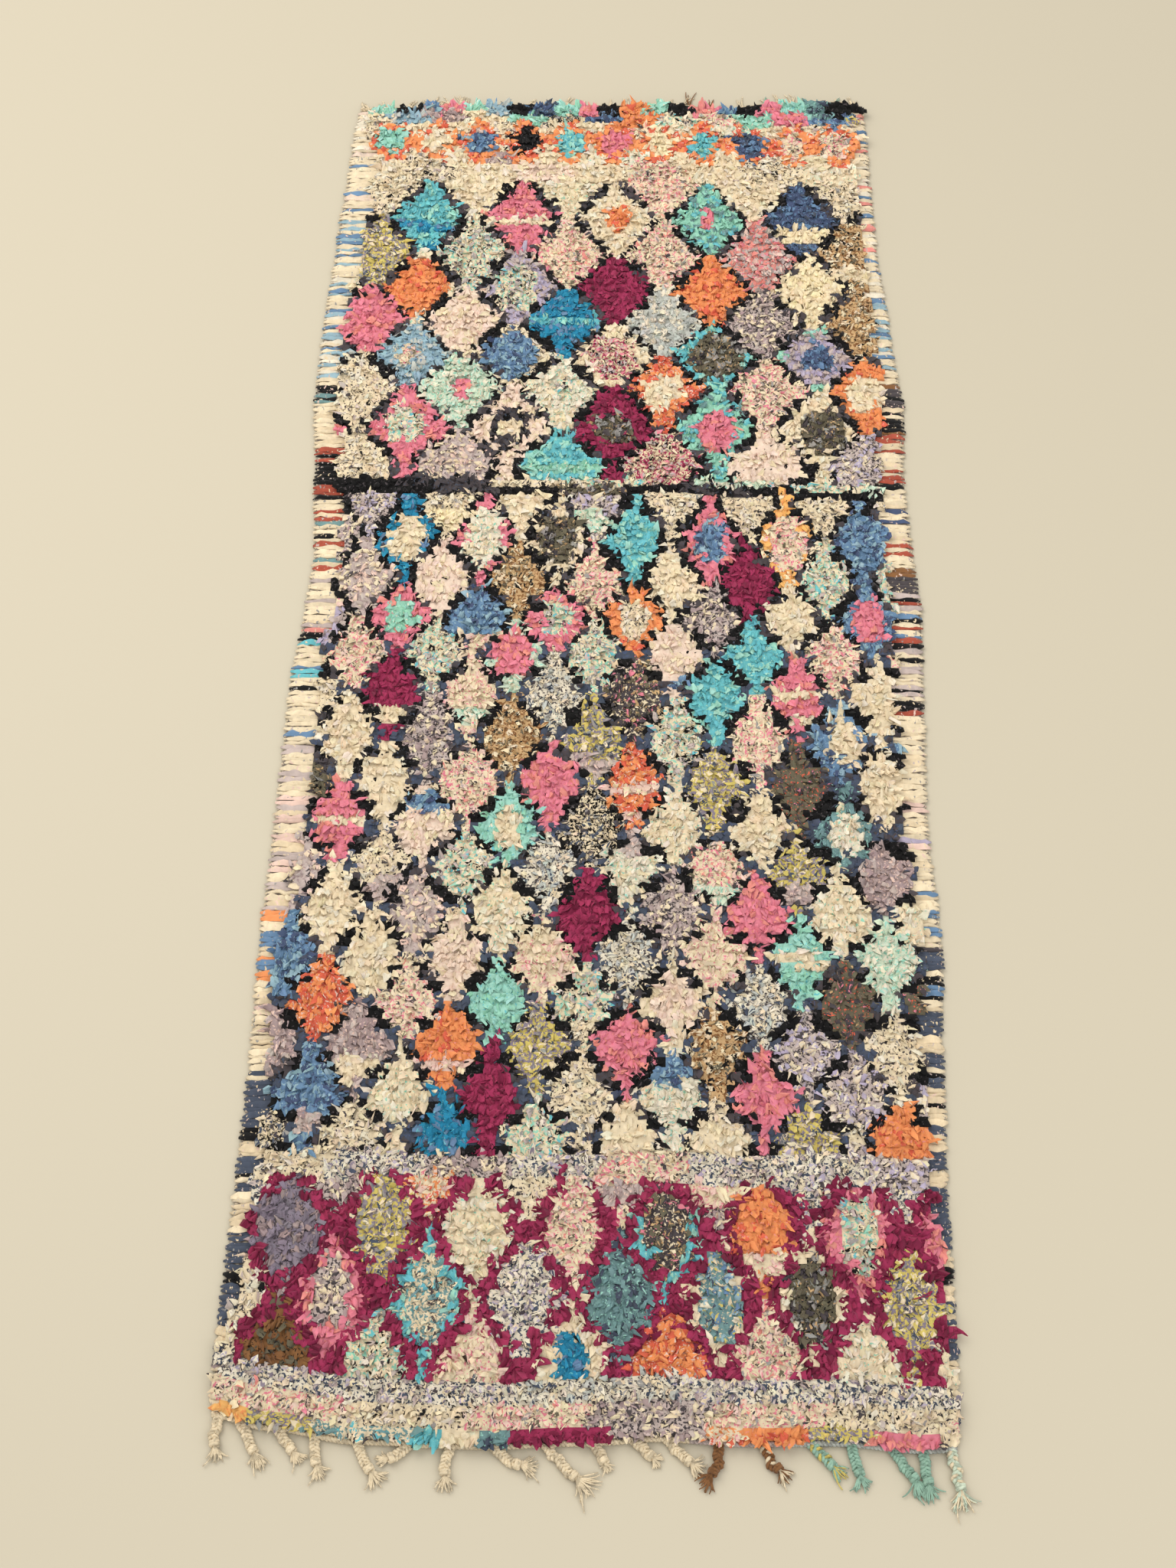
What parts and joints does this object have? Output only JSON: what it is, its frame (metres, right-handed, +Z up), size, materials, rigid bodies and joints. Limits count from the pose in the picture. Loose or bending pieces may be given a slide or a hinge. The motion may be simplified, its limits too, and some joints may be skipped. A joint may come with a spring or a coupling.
{
  "type": "boucherouite rug",
  "caption": "Long handwoven rag rug lying flat, with knotted multicolour lozenge pile, bare striped selvedges and plaited warp tassels at one end.",
  "frame": {"origin": "on the floor under the middle of the rug's bounding box, fringes included", "axes": "+Z up out of the pile, +Y along the rug from the tasselled end to the far end, +X across it"},
  "size_m": [1.0752, 2.7402, 0.0255],
  "materials": {
    "rag_pile": "matte knotted rag pile in many colours on a cotton ground",
    "tassel_cotton": "matte plaited cotton",
    "warp_cotton": "matte loose warp yarn"
  },
  "bodies": {
    "root": {"rug_body": "rag_pile", "fringe_near": "tassel_cotton", "fringe_far": "warp_cotton"}
  },
  "joints": []
}
